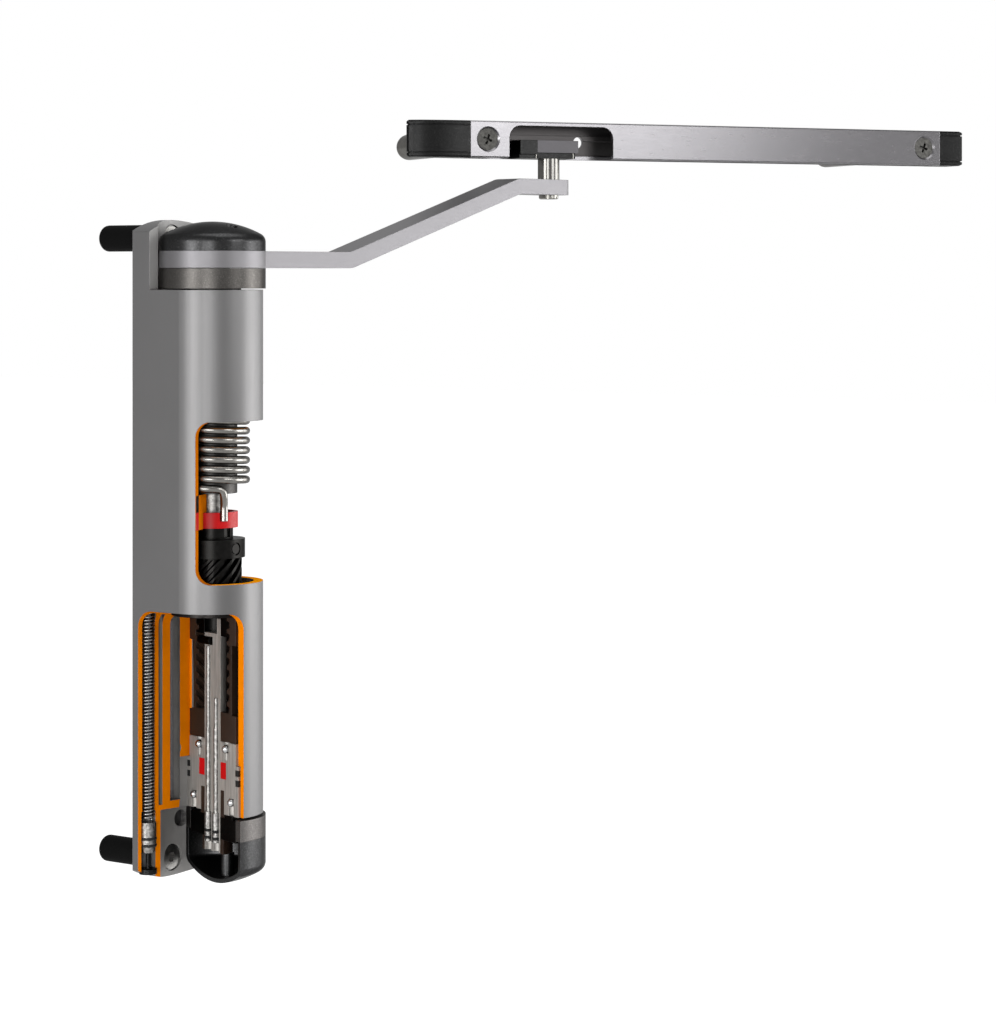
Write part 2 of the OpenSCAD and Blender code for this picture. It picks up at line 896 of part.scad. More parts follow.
// Middle line of the torsion spring: upper leg, left-hand turns, and lower leg drawn in to the collar
spring_line =
  let (
    polar = function (r, a, z) [r * cos(a), r * sin(a), z],
    bend_r = mandrel_r + coil_wire / 2 + 0.6,
    fall = coil_pitch / 360)
  concat(
    [polar(coil_r, leg_angle, coil_top_z + leg_len)],
    [polar(coil_r, leg_angle, coil_top_z + leg_len - coil_wire)],
    [polar(coil_r, leg_angle + 1, coil_top_z + 1.6)],
    [polar(coil_r, leg_angle + 6, coil_top_z + 0.4)],
    [for (i = [0 : 8 * coil_turns - 2])
      let (a = 16 + 45 * i) if (a < 360 * coil_turns - 50)
        polar(coil_r, leg_angle + a, coil_top_z - fall * a)],
    [for (back = [45, 34, 23, 13])
      polar(bend_r + (coil_r - bend_r) * back / 45, leg_angle - back, coil_low_z + fall * back)],
    [polar(bend_r, leg_angle - 3, coil_low_z - 0.4)],
    [polar(bend_r, leg_angle, leg_jog_top)],
    [polar((bend_r + leg_r) / 2, (leg_angle + foot_angle) / 2, (leg_jog_top + leg_jog_end) / 2)],
    [polar(leg_r, foot_angle, leg_jog_end)],
    [polar(leg_r, foot_angle, leg_end_z + coil_wire)],
    [polar(leg_r, foot_angle, leg_end_z)]);

module torsion_spring() {
  color(steel) at_axis() wire(spring_line, coil_wire / 2, 6);
}

// Fixed ring round the shaft, with a wider bore below for the collar, cut like the upper window
module anchor_ring() {
  color(satin)
    at_axis()
      anchor_cut()
        difference() {
          rotate_extrude()
            polygon([
              [shaft_r + 2 * run_gap, anchor_step],
              [anchor_collar_r + fit_gap, anchor_step],
              [anchor_collar_r + fit_gap, anchor_bottom],
              [bore_r - fit_gap, anchor_bottom],
              [bore_r - fit_gap, anchor_top],
              [shaft_r + 2 * run_gap, anchor_top]]);
          key_block(anchor_bottom - cut, anchor_top + cut, fit_gap);
        }
}

// Block that fills the keyway between two heights
module key_block(z0, z1, slack) {
  rotate([0, 0, upper_cut_angle + 180])
    translate([bore_r - 1 - slack, -key_w / 2 + fit_gap - slack, z0])
      cube([key_depth + 1 - fit_gap + 2 * slack, key_w - 2 * fit_gap + 2 * slack, z1 - z0]);
}

module anchor_key() {
  color(black) at_axis() anchor_cut() key_block(anchor_step + tab_rise, anchor_top, 0);
}

module anchor_tab() {
  color(red) at_axis() anchor_cut() key_block(anchor_bottom, anchor_step + tab_rise, 0);
}

module anchor_collar() {
  color(red)
    at_axis()
      difference() {
        ring(anchor_collar_r - anchor_collar_wall, anchor_collar_r, anchor_bottom + ring_gap, anchor_step);
        rotate([0, 0, foot_angle])
          translate([0, -coil_wire / 2 - slot_slack, leg_end_z])
            cube([far, coil_wire + 2 * slot_slack, far]);
      }
}

// Cross hole through collar and shaft
module pin_hole(r) {
  translate([0, 0, collar_pin_z])
    rotate([0, 90, collar_pin_angle]) translate([0, 0, -far / 2]) cylinder(r = r, h = far);
}

module drive_collar() {
  color(black)
    at_axis()
      difference() {
        union() {
          ring(shaft_r + fit_gap, neck_r, collar_top, neck_top);
          ring(shaft_r + fit_gap, drive_collar_r, drive_collar_z, collar_top);
        }
        pin_hole(collar_pin_r + fit_gap);
        for (side = [0, 180])
          rotate([0, 0, collar_pin_angle + side])
            translate([drive_collar_r - 1, 0, collar_pin_z])
              rotate([0, 90, 0]) cylinder(r = collar_pin_r + 0.8, h = far);
        rotate([0, 0, neck_slot_angle])
          translate([neck_r - 1.5, -neck_slot_w / 2, collar_top + cut]) cube([far, neck_slot_w, far]);
      }
}

module collar_pin() {
  color(steel)
    at_axis()
      translate([0, 0, collar_pin_z])
        rotate([0, 90, collar_pin_angle])
          cylinder(r = collar_pin_r, h = 2 * drive_collar_r - 1, center = true);
}

// Lead screw and piston

// Outline of all the thread's ridges
function thread_outline(crest, root, slack) =
  [for (i = [0 : thread_starts - 1])
    for (p = [
      [root, -root_half - slack],
      [crest, -crest_half - slack],
      [crest, crest_half + slack],
      [root, root_half + slack]])
      let (a = 360 * i / thread_starts + p[1]) p[0] * [cos(a), sin(a)]];

// Right-hand threaded rod between two heights, in phase with every other one
module threaded(crest, root, slack, z0, z1) {
  turn = 360 * (z1 - z0) / thread_lead;
  rotate([0, 0, 360 * (z0 - thread_phase_z) / thread_lead])
    translate([0, 0, z0])
      linear_extrude(z1 - z0, twist = -turn, slices = ceil(turn / thread_step))
        polygon(thread_outline(crest, root, slack));
}

module lead_screw() {
  color(black)
    at_axis()
      section_cut(inner_cut_angle, screw_cut_z)
        difference() {
          threaded(screw_r, screw_root_r, 0, screw_end_z, screw_top);
          translate([0, 0, screw_end_z - cut]) cylinder(r = screw_bore_r, h = far);
        }
}

module piston_nut() {
  color(brown)
    at_axis()
      section_cut(inner_cut_angle)
        difference() {
          rotate_extrude()
            polygon([
              [column_r + run_gap, piston_z],
              [piston_r, piston_z],
              [piston_r, piston_z + piston_collar_h],
              [waist_r, piston_z + piston_collar_h],
              [waist_r, piston_top - piston_head_h],
              [piston_r, piston_top - piston_head_h],
              [piston_r, piston_top],
              [column_r + run_gap, piston_top]]);
          threaded(screw_r + thread_gap, screw_root_r + thread_gap,
            thread_slack, thread_bottom, piston_top + cut);
        }
}

// Black guide ring on top of the piston nut
module piston_guide() {
  color(black) at_axis() ring(guide_bore_r, bore_r - run_gap, piston_top, piston_top + guide_h);
}

// Valve column and rods

module valve_column() {
  color(cast)
    at_axis()
      section_cut(inner_cut_angle)
        difference() {
          union() {
            translate([0, 0, column_end_z]) cylinder(r = column_r, h = column_top - column_end_z);
            intersection() {
              ring(column_r - tongue_wall, column_r, column_top, tongue_top);
              on_section(-column_r) translate([0, -column_r, column_top])
                cube([column_r - tongue_inner, 2 * column_r, tongue_top - column_top]);
            }
          }
          on_section(rod_offset) rod_bore(speed_needle_top);
          on_section(-rod_offset) rod_bore(latch_needle_top);
          cross_hole();
        }
}

// Stepped bore of one adjusting rod
module rod_bore(needle_top) {
  translate([0, 0, column_end_z - cut])
    cylinder(r = needle_r + rod_gap, h = needle_top + rod_gap - column_end_z + cut);
  translate([0, 0, column_end_z - cut])
    cylinder(r = rod_r + rod_gap, h = rod_top + rod_gap - column_end_z + cut);
  translate([0, 0, column_end_z - cut])
    cylinder(r = rod_head_r + rod_gap, h = rod_head_top + rod_gap - column_end_z + cut);
}

module cross_hole() {
  on_section(0) translate([0, 0, cross_pin_z])
    rotate([0, 90, 0]) cylinder(r = cross_pin_r + fit_gap, h = far);
}

module cross_pin() {
  color(black)
    at_axis()
      on_section(1) translate([0, 0, cross_pin_z])
        rotate([0, 90, 0]) cylinder(r = cross_pin_r, h = cross_pin_reach - 1);
}

// Needle, rod and grooved head with a screwdriver slot
module adjusting_rod(needle_top) {
  translate([0, 0, rod_head_end]) {
    difference() {
      union() {
        cylinder(r = needle_r, h = needle_top - rod_head_end);
        cylinder(r = rod_r, h = rod_top - rod_head_end);
        cylinder(r = rod_head_r, h = rod_head_top - rod_head_end);
      }
      translate([-slot_w / 2, -far / 2, -cut]) cube([slot_w, far, slot_d + cut]);
      for (z = rod_rings)
        ring(rod_ring_in, far, z - ring_r - fit_gap - rod_head_end, z + ring_r + fit_gap - rod_head_end);
    }
  }
}

module rod_o_rings() {
  for (z = rod_rings) o_ring(rod_ring_out, ring_r, z);
}

// O-ring with this outer radius
module o_ring(outer, r, z) {
  translate([0, 0, z]) rotate_extrude() translate([outer - r, 0]) circle(r, $fn = 32);
}

module speed_valve() {
  color(steel) at_axis() on_section(rod_offset) adjusting_rod(speed_needle_top);
}

module speed_rings() {
  color(black) at_axis() on_section(rod_offset) rod_o_rings();
}

module latch_valve() {
  color(steel) at_axis() on_section(-rod_offset) adjusting_rod(latch_needle_top);
}

module latch_rings() {
  color(black) at_axis() on_section(-rod_offset) rod_o_rings();
}

// Valve body

module valve_body() {
  inner = column_r + run_gap;
  color(cast)
    at_axis()
      section_cut(inner_cut_angle)
        difference() {
          rotate_extrude()
            polygon([
              [inner, valve_top],
              [bore_r - run_gap, valve_top],
              [bore_r - run_gap, valve_step],
              [valve_r, valve_step],
              [valve_r, valve_end],
              [column_bush_r + fit_gap, valve_end],
              [column_bush_r + fit_gap, column_bush_top],
              [inner, column_bush_top],
              [inner, insert_end - fit_gap],
              [insert_r + fit_gap, insert_end - fit_gap],
              [insert_r + fit_gap, insert_top + fit_gap],
              [inner, insert_top + fit_gap]]);
          for (z = groove_zs) ring(valve_r - groove_d, far, z - groove_h / 2, z + groove_h / 2);
          for (side = [-1, 1]) {
            on_section(side * check_offset) {
              translate([0, 0, check_z - check_r - run_gap]) cylinder(r = check_r + run_gap, h = far);
              translate([0, 0, check_z - check_depth]) cylinder(r = check_r / 2, h = far);
            }
            on_section(side * ball_plug_offset)
              translate([0, 0, ball_plug_z - far + ball_plug_r])
                cylinder(r = ball_plug_r + fit_gap, h = far);
          }
        }
}

module seal_insert() {
  color(red) at_axis() section_cut(inner_cut_angle)
    ring(column_r + run_gap, insert_r, insert_end, insert_top);
}

module body_seals() {
  color(black)
    at_axis()
      section_cut(inner_cut_angle)
        for (z = groove_zs)
          ring(valve_r - groove_d + fit_gap, counterbore_r - fit_gap,
            z - groove_h / 2 + seal_slack, z + groove_h / 2 - seal_slack);
}

module check_balls() {
  color(steel)
    at_axis()
      for (side = [-1, 1]) on_section(side * check_offset) translate([0, 0, check_z]) sphere(check_r);
}

module ball_plugs() {
  color(steel)
    at_axis()
      for (side = [-1, 1]) on_section(side * ball_plug_offset)
        translate([0, 0, ball_plug_z]) sphere(ball_plug_r);
}

module column_bush() {
  color(brown) at_axis() section_cut(inner_cut_angle)
    ring(column_r + run_gap, column_bush_r, plug_top, column_bush_top);
}

module column_nut() {
  color(brown) at_axis() bottom_cut() ring(column_r + fit_gap, column_nut_r, column_nut_end, plug_end);
}

module bottom_plug() {
  color(black)
    at_axis()
      bottom_cut() {
        ring(column_r + fit_gap, plug_r, plug_end, plug_top);
        ring(column_bush_r + 2, plug_r - 4, plug_top, valve_end);
      }
}

module bottom_ring() {
  color(black)
    at_axis()
      bottom_cut() ring(plug_r + fit_gap, cap_r, bottom_ring_z - bottom_ring_h, bottom_ring_z);
}

module bottom_cap() {
  rim_z = bottom_ring_z - bottom_ring_h;
  color(black)
    at_axis()
      bottom_cut()
        union() {
          translate([0, 0, rim_z]) mirror([0, 0, 1]) dome(bottom_cap_h);
          intersection() {
            rotate([0, 0, cap_side_angle])
              translate([0, boss_offset, rim_z - bottom_cap_h])
                cylinder(r = boss_r, h = boss_top - rim_z + bottom_cap_h);
            translate([0, 0, rim_z]) mirror([0, 0, 1]) rotate_extrude() dome_outline(bottom_cap_h, 0);
          }
        }
}

// Mount screws and the sleeves inside the post

module mount_screws() {
  color(steel)
    at_axis()
      for (side = [-1, 1])
        translate([0, mount_seat_y, side * mount_z])
          rotate([-90, 0, 0])
            difference() {
              union() {
                cylinder(r1 = mount_head_r, r2 = mount_thread_r, h = mount_head_h);
                cylinder(r = mount_thread_r, h = mount_screw_len);
              }
              translate([0, 0, -cut]) cylinder(r = mount_socket_r, h = mount_head_h / 2 + cut, $fn = 6);
            }
}

module mount_sleeves() {
  color(black)
    at_axis()
      for (side = [-1, 1])
        translate([0, axis_depth + post_wall, side * mount_z])
          rotate([-90, 0, 0])
            rotate_extrude()
              polygon(concat(
                [[mount_thread_r + fit_gap, 0]],
                [[sleeve_r, 0]],
                arc([sleeve_r - sleeve_round, sleeve_len - sleeve_round], sleeve_round, 0, 90, 6),
                [[0, sleeve_len]],
                [[0, sleeve_bore_end]],
                [[mount_thread_r + fit_gap, sleeve_bore_end]]));
}

// Compensator

// Middle line of the compensator spring about its own axis, with both ends turned up along it
comp_line =
  let (
    r = comp_spring_r - comp_wire / 2,
    z0 = comp_piston_z,
    z1 = comp_piston_z + comp_wire * 1.6,
    rise = comp_turns * comp_pitch - 1.2 * comp_wire)
  concat(
    [[r, 0, z0]],
    [[r, 0, z0 + comp_wire]],
    [for (i = [0 : 8 * comp_turns - 8]) let (a = 12 + 45 * i)
      [r * cos(a), r * sin(a), z1 + rise * a / (360 * comp_turns)]],
    [[r * cos(20 - 360), r * sin(20 - 360), comp_spring_top - comp_wire]],
    [[r * cos(20 - 360), r * sin(20 - 360), comp_spring_top]]);

module compensator_spring() {
  color(steel) at_axis() translate([comp_x, comp_y, 0]) wire(comp_line, comp_wire / 2, 6);
}

module compensator_piston() {
  body_r = comp_piston_r - 0.35;
  color(steel)
    at_axis()
      translate([comp_x, comp_y, comp_piston_z - comp_piston_len])
        difference() {
          rotate_extrude()
            polygon([
              [0, 0],
              [body_r - 0.8, 0],
              [body_r - 0.4, 3.2],
              [body_r, 3.2],
              [body_r, comp_piston_len],
              [0, comp_piston_len]]);
          for (z = comp_ring_zs)
            let (groove_z = z - comp_piston_z + comp_piston_len)
              ring(comp_groove_r, far, groove_z - comp_ring_r - fit_gap, groove_z + comp_ring_r + fit_gap);
        }
}

module compensator_rings() {
  color(black)
    at_axis() translate([comp_x, comp_y, 0]) for (z = comp_ring_zs) o_ring(comp_ring_out, comp_ring_r, z);
}

module compensator_plug() {
  stem_top = comp_piston_z - comp_piston_len - comp_stem_gap;
  color(black)
    at_axis()
      translate([comp_x, comp_y, 0]) {
        translate([0, 0, comp_plug_end]) cylinder(r = comp_stem_r, h = stem_top - comp_plug_end);
        translate([0, 0, comp_plug_end])
          cylinder(r = comp_wide_r - fit_gap, h = comp_plug_top - comp_plug_end);
      }
}

// Slider, drawn with the rail along X and the arm pin at the origin

module slider_block() {
  color(black)
    at_rail()
      difference() {
        union() {
          translate([slider_start, slider_gap - rail_slot_half, slider_z])
            cube([slider_end - slider_start, 2 * rail_slot_half - 2 * slider_gap, plate_z - slider_z]);
          translate([slider_start, -slider_half, rail_z + rail_lip + slider_gap])
            cube([slider_step - slider_start, 2 * slider_half,
              plate_top_z - rail_z - rail_lip - slider_gap]);
        }
        translate([0, 0, slider_z - cut]) cylinder(r = pin_r + run_gap, h = far);
        for (x = slider_pin_xs) translate([x, slider_pin_y, slider_z - cut])
            cylinder(r = slider_pin_r + fit_gap, h = plate_z - slider_z + cut);
      }
}

module slider_plate() {
  color([0.42, 0.41, 0.43])
    at_rail()
      difference() {
        translate([slider_step, -slider_half, plate_z])
          cube([slider_plate_end - slider_step, 2 * slider_half, plate_top_z - plate_z]);
        translate([0, 0, plate_z - cut]) cylinder(r = pin_head_r + run_gap, h = far);
      }
}

module slider_pins() {
  color(steel)
    at_rail()
      for (x = slider_pin_xs)
        translate([x, slider_pin_y, slider_z]) cylinder(r = slider_pin_r, h = plate_z - slider_z);
}

// Rail

// Cross-section of the rail: a channel open below, with a ridge along both inner walls
module rail_section() {
  e = 0.8;
  difference() {
    polygon([
      [e - rail_half, rail_z],
      [rail_half - e, rail_z],
      [rail_half, rail_z + e],
      [rail_half, rail_top - e],
      [rail_half - e, rail_top],
      [e - rail_half, rail_top],
      [-rail_half, rail_top - e],
      [-rail_half, rail_z + e]]);
    translate([-rail_in, rail_z + rail_lip]) square([2 * rail_in, ridge_z - rail_z - rail_lip]);
    translate([-rail_in, ridge_z + ridge_h])
      square([2 * rail_in, rail_top - rail_wall - ridge_z - ridge_h]);
    translate([-rail_slot_half, rail_z - cut])
      square([2 * rail_slot_half, ridge_z + ridge_h + cut - rail_z + cut]);
  }
}

// Window through the front wall and lip, with rounded upper corners
module rail_window() {
  translate([0, -rail_slot_half, 0])
    rotate([90, 0, 0])
      linear_extrude(rail_half)
        polygon(concat(
          [[rail_window_start, rail_z - cut]],
          [[rail_window_end, rail_z - cut]],
          arc([rail_window_end - rail_window_r, rail_window_top - rail_window_r], rail_window_r, 0, 90, 8),
          arc([rail_window_start + rail_window_r, rail_window_top - rail_window_r],
            rail_window_r, 90, 180, 8)));
}

// Seat and hole of one through-bolt
module bolt_hole() {
  translate([0, -rail_half, rail_mid_z])
    rotate([-90, 0, 0]) {
      cylinder(r1 = rail_seat_r, r2 = rail_bolt_r, h = rail_seat_r - rail_bolt_r);
      translate([0, 0, -cut]) cylinder(r = rail_bolt_r + rail_bolt_gap, h = rail_w + 2 * cut);
    }
}

module rail() {
  color(silver)
    at_rail()
      difference() {
        along_x(rail_start, rail_end) rail_section();
        rail_window();
        for (x = rail_bolt_xs) translate([x, 0, 0]) bolt_hole();
        translate([back_hole_x, 0, rail_mid_z - back_hole_drop])
          rotate([-90, 0, 0]) cylinder(r = back_hole_r, h = rail_w);
      }
}

// Cap plan: half of a long ellipse, drawn in by an inset
module left_cap_plan(inset) {
  polygon(concat(
    [for (a = [90 : 10 : 270])
      [rail_start + (rail_cap_left_len - inset) * cos(a), (rail_half - inset) * sin(a)]]));
}

// Cap plan: rectangle with rounded outer corners, drawn in by an inset
module right_cap_plan(inset) {
  end = rail_end + rail_cap_right_len - inset;
  half = rail_half - inset;
  r = cap_corner_r;
  polygon(concat(
    [[rail_end, half]],
    [[rail_end, -half]],
    arc([end - r, r - half], r, -90, 0, 6),
    arc([end - r, half - r], r, 0, 90, 6)));
}

// Stack of a cap's layers: the outline, drawn in at the two seam grooves and in steps at both rims
module cap_layers() {
  half = [[0, rim_d], [rim_h, rim_d / 3], [2 * rim_h, 0], [seam_in, seam_d], [seam_in + seam_w, 0]];
  count = len(half);
  for (i = [0 : count - 2])
    for (upper = [false, true])
      let ($inset = half[i][1], h = half[i + 1][0] - half[i][0])
        translate([0, 0, upper ? rail_top - half[i + 1][0] : rail_z + half[i][0]])
          linear_extrude(h) children();
  let ($inset = 0)
    translate([0, 0, rail_z + half[count - 1][0]])
      linear_extrude(rail_h - 2 * half[count - 1][0]) children();
}

// Plug of an end cap inside the rail, which also carries the through-bolt
module cap_insert(x0, x1) {
  translate([x0, fit_gap - rail_slot_half, rail_z + rail_lip])
    cube([x1 - x0, 2 * rail_slot_half - 2 * fit_gap, rail_top - rail_wall - fit_gap - rail_z - rail_lip]);
}

module rail_cap_left() {
  color(black)
    at_rail()
      difference() {
        union() {
          cap_layers() left_cap_plan($inset);
          cap_insert(rail_start - cut, rail_start + insert_left_len);
        }
        translate([rail_bolt_xs[0], 0, 0]) bolt_hole();
      }
}

module rail_cap_right() {
  color(black)
    at_rail()
      difference() {
        union() {
          cap_layers() right_cap_plan($inset);
          cap_insert(rail_end - insert_right_len, rail_end + cut);
        }
        translate([rail_bolt_xs[1], 0, 0]) bolt_hole();
      }
}

// Countersunk through-bolts with a cross recess
module rail_screws() {
  sink = rail_seat_r - rail_head_r;
  color(steel)
    at_rail()
      for (x = rail_bolt_xs)
        translate([x, -rail_half, rail_mid_z])
          rotate([-90, 0, 0])
            difference() {
              union() {
                translate([0, 0, sink])
                  cylinder(r1 = rail_head_r, r2 = rail_bolt_r, h = rail_head_r - rail_bolt_r);
                translate([0, 0, sink]) cylinder(r = rail_bolt_r, h = rail_bolt_len - sink);
              }
              for (a = [20, 110])
                rotate([0, 0, a])
                  translate([-recess_len / 2, -recess_w / 2, 0])
                    cube([recess_len, recess_w, sink + recess_d]);
            }
}

// Domed barrel nuts on the through-bolts
module sleeve_nuts() {
  color(steel)
    at_rail()
      for (x = rail_bolt_xs)
        translate([x, -rail_half, rail_mid_z])
          rotate([-90, 0, 0])
            difference() {
              union() {
                translate([0, 0, rail_bolt_reach - sleeve_nut_len])
                  cylinder(r = sleeve_nut_r, h = sleeve_nut_len - sleeve_nut_r);
                translate([0, 0, rail_bolt_reach - sleeve_nut_r]) sphere(sleeve_nut_r);
              }
              cylinder(r = rail_bolt_r + fit_gap, h = sleeve_nut_bore_end);
            }
}

echo(str("torsion spring, least gap to itself: ", own_gap(spring_line, coil_wire, 5, 14)));
echo(str("compensator spring, least gap to itself: ", own_gap(comp_line, comp_wire, 5, 14)));

housing();
bearing_ring();
top_bush();
anchor_ring();
anchor_key();
anchor_tab();
anchor_collar();
torsion_spring();
valve_column();
cross_pin();
valve_body();
seal_insert();
body_seals();
check_balls();
ball_plugs();
column_bush();
column_nut();
bottom_plug();
bottom_ring();
bottom_cap();
mount_screws();
mount_sleeves();
compensator_spring();
compensator_plug();
arm();
top_cap();
arm_screw();
spindle_shaft();
spring_driver();
spring_mandrel();
drive_collar();
collar_pin();
lead_screw();
arm_pin();
pin_nut();
piston_nut();
piston_guide();
slider_block();
slider_plate();
slider_pins();
rail();
rail_cap_left();
rail_cap_right();
rail_screws();
sleeve_nuts();
speed_valve();
speed_rings();
latch_valve();
latch_rings();
compensator_piston();
compensator_rings();
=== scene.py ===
"""Looks of the post-mounted gate closer: camera, light, materials and the two wound springs."""

import math

import bpy
from mathutils import Matrix, Vector


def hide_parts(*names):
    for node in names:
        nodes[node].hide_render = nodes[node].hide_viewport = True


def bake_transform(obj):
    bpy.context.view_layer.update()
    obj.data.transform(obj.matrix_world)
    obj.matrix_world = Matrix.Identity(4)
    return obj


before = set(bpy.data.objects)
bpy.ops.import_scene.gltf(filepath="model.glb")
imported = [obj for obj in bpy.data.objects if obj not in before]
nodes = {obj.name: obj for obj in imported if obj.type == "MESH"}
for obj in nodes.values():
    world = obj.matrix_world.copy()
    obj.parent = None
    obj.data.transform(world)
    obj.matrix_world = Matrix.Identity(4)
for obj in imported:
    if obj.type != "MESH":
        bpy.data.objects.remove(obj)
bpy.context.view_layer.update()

# The frame is in metres. Sizes of the part are given in mm and multiplied by MM.

MM = 0.001
AXIS_Y = -0.0375  # the tube's axis, in metres


def linear(*srgb):
    """A colour given in 0 to 255 sRGB as linear values."""
    return tuple((c / 255 / 12.92) if c <= 10 else ((c / 255 + 0.055) / 1.055) ** 2.4 for c in srgb)


# Camera

scene = bpy.context.scene
cam_data = bpy.data.cameras.new("camera")
cam = bpy.data.objects.new("camera", cam_data)
scene.collection.objects.link(cam)
scene.camera = cam
cam.location = (-1.350, -1.2084, 0.16235)
cam.rotation_euler = (math.radians(90), 0, math.radians(-54.5))
cam_data.sensor_width = 36
cam_data.lens = 105.47
cam_data.shift_y = -0.2299
cam_data.clip_start = 0.1
cam_data.clip_end = 50
cam_data.dof.use_dof = False

# World, floor and lamps

scene.view_settings.view_transform = "Standard"

WHITE = (1, 1, 1, 1)
AMBIENT = 0.2  # strength of the world as diffuse light
WHITE_REFLECTED = 0.7  # share of the white world that shiny faces reflect
FLOOR_HALF = 12
FLOOR_Z = -0.46
FLOOR_COLOR = (0.86, 0.86, 0.86, 1)
FLOOR_GLOW = 1.3
FLOOR_GLOW_SHARE = 0.8


def combined(tree, operation, a, b):
    """Math node over two values, each a socket or a number."""
    node = tree.nodes.new("ShaderNodeMath")
    node.operation = operation
    for socket, value in zip(node.inputs, (a, b)):
        if isinstance(value, float):
            socket.default_value = value
        else:
            tree.links.new(value, socket)
    return node.outputs[0]


def seen_directly(tree, glossy):
    """1 for rays of the camera or through glass, glossy for reflected rays, 0 for diffuse ones."""
    path = tree.nodes.new("ShaderNodeLightPath").outputs
    shine = combined(tree, "MULTIPLY", path["Is Glossy Ray"], glossy)
    seen = combined(tree, "MAXIMUM", path["Is Camera Ray"], shine)
    return combined(tree, "MAXIMUM", seen, path["Is Transmission Ray"])


def shader(tree, kind, color, strength=None):
    """Shader node of one colour, and of a strength where it has one."""
    node = tree.nodes.new(kind)
    node.inputs["Color"].default_value = color
    if strength is not None:
        node.inputs["Strength"].default_value = strength
    return node.outputs[0]


def end_in_mix(tree, output, share, lit, bright):
    """The tree's surface goes from the shader lit to the shader bright by share."""
    mix = tree.nodes.new("ShaderNodeMixShader")
    for socket, value in zip(mix.inputs, (share, lit, bright)):
        tree.links.new(value, socket)
    tree.links.new(mix.outputs[0], tree.nodes.new(output).inputs["Surface"])


def plane(name, half, z):
    """Square plane at a height, reaching half its side from the origin."""
    mesh = bpy.data.meshes.new(name)
    corners = [(-half, -half, z), (half, -half, z), (half, half, z), (-half, half, z)]
    mesh.from_pydata(corners, [], [(0, 1, 2, 3)])
    obj = bpy.data.objects.new(name, mesh)
    scene.collection.objects.link(obj)
    return obj


world = bpy.data.worlds.new("studio")
scene.world = world
world.use_nodes = True
world_tree = world.node_tree
world_tree.nodes.clear()
soft = shader(world_tree, "ShaderNodeBackground", WHITE, AMBIENT)
white = shader(world_tree, "ShaderNodeBackground", WHITE, 1.0)
white_share = seen_directly(world_tree, WHITE_REFLECTED)
end_in_mix(world_tree, "ShaderNodeOutputWorld", white_share, soft, white)

floor = plane("floor", FLOOR_HALF, FLOOR_Z)
floor_mat = bpy.data.materials.new("floor")
floor_mat.use_nodes = True
floor_tree = floor_mat.node_tree
floor_tree.nodes.clear()
matt = shader(floor_tree, "ShaderNodeBsdfDiffuse", FLOOR_COLOR)
glow = shader(floor_tree, "ShaderNodeEmission", WHITE, FLOOR_GLOW)
glow_share = combined(floor_tree, "MULTIPLY", seen_directly(floor_tree, 1.0), FLOOR_GLOW_SHARE)
end_in_mix(floor_tree, "ShaderNodeOutputMaterial", glow_share, matt, glow)
floor.data.materials.append(floor_mat)


def lamp(name, place, target, width, height, watts):
    """Rectangular area lamp that looks from place to target."""
    data = bpy.data.lights.new(name, "AREA")
    data.shape = "RECTANGLE"
    data.size = width
    data.size_y = height
    data.energy = watts
    obj = bpy.data.objects.new(name, data)
    scene.collection.objects.link(obj)
    obj.location = place
    obj.rotation_euler = (Vector(target) - Vector(place)).to_track_quat("-Z", "Y").to_euler()


lamp("left_panel", (-1.745, 0.10, 0.05), (0.0, AXIS_Y, 0.05), 0.6, 1.0, 25)
lamp("right_panel", (1.18, -1.25, -0.05), (0.0, AXIS_Y, -0.05), 0.85, 1.0, 24)
lamp("edge_panel", (1.6, -0.59, -0.05), (0.0, AXIS_Y, -0.05), 0.5, 1.0, 8)
lamp("front_panel", (-1.66, -1.03, 0.0), (0.0, AXIS_Y, 0.0), 0.7, 0.8, 18)
lamp("left_fill", (-2.0, -0.92, 0.9), (0.1, -0.1, 0.1), 1.0, 1.0, 2.0)
lamp("rail_panel", (0.1, -1.25, 0.42), (0.25, -0.1, 0.28), 0.5, 0.34, 5.5)
lamp("top_panel", (0.2, -0.3, 1.5), (0.2, -0.1, 0.0), 1.2, 1.2, 14)

# Materials

UPRIGHT_GRAIN = (1, 1, 0.02)
ARM_GRAIN = (0.03, 1, 1)
RAIL_GRAIN = (0.02, 0.3, 1)
EVEN = (1, 1, 1)
NOISE_LOW = 0.3  # nearly all values of a noise lie between these two
NOISE_HIGH = 0.7


def principled(name, color, rough, metal=0.0, spec=0.5, rim=1.0):
    """Plain material; rim is the brightness of its reflection at grazing angles."""
    mat = bpy.data.materials.new(name)
    mat.use_nodes = True
    inputs = mat.node_tree.nodes["Principled BSDF"].inputs
    inputs["Base Color"].default_value = (*color, 1)
    inputs["Roughness"].default_value = rough
    inputs["Metallic"].default_value = metal
    inputs["Specular IOR Level"].default_value = spec
    inputs["Specular Tint"].default_value = (rim, rim, rim, 1)
    return mat


def feed(mat, socket, value):
    """Link a value to a socket of the material's shader."""
    mat.node_tree.links.new(value, mat.node_tree.nodes["Principled BSDF"].inputs[socket])


def noise(mat, scale, detail=3.0, rough=0.5, stretch=EVEN):
    """Noise over object coordinates in metres, which stretch multiplies along each axis."""
    tree = mat.node_tree
    coordinates = tree.nodes.new("ShaderNodeTexCoord")
    mapping = tree.nodes.new("ShaderNodeMapping")
    mapping.inputs["Scale"].default_value = stretch
    tree.links.new(coordinates.outputs["Object"], mapping.inputs["Vector"])
    texture = tree.nodes.new("ShaderNodeTexNoise")
    texture.inputs["Scale"].default_value = scale
    texture.inputs["Detail"].default_value = detail
    texture.inputs["Roughness"].default_value = rough
    tree.links.new(mapping.outputs["Vector"], texture.inputs["Vector"])
    return texture.outputs["Fac"]


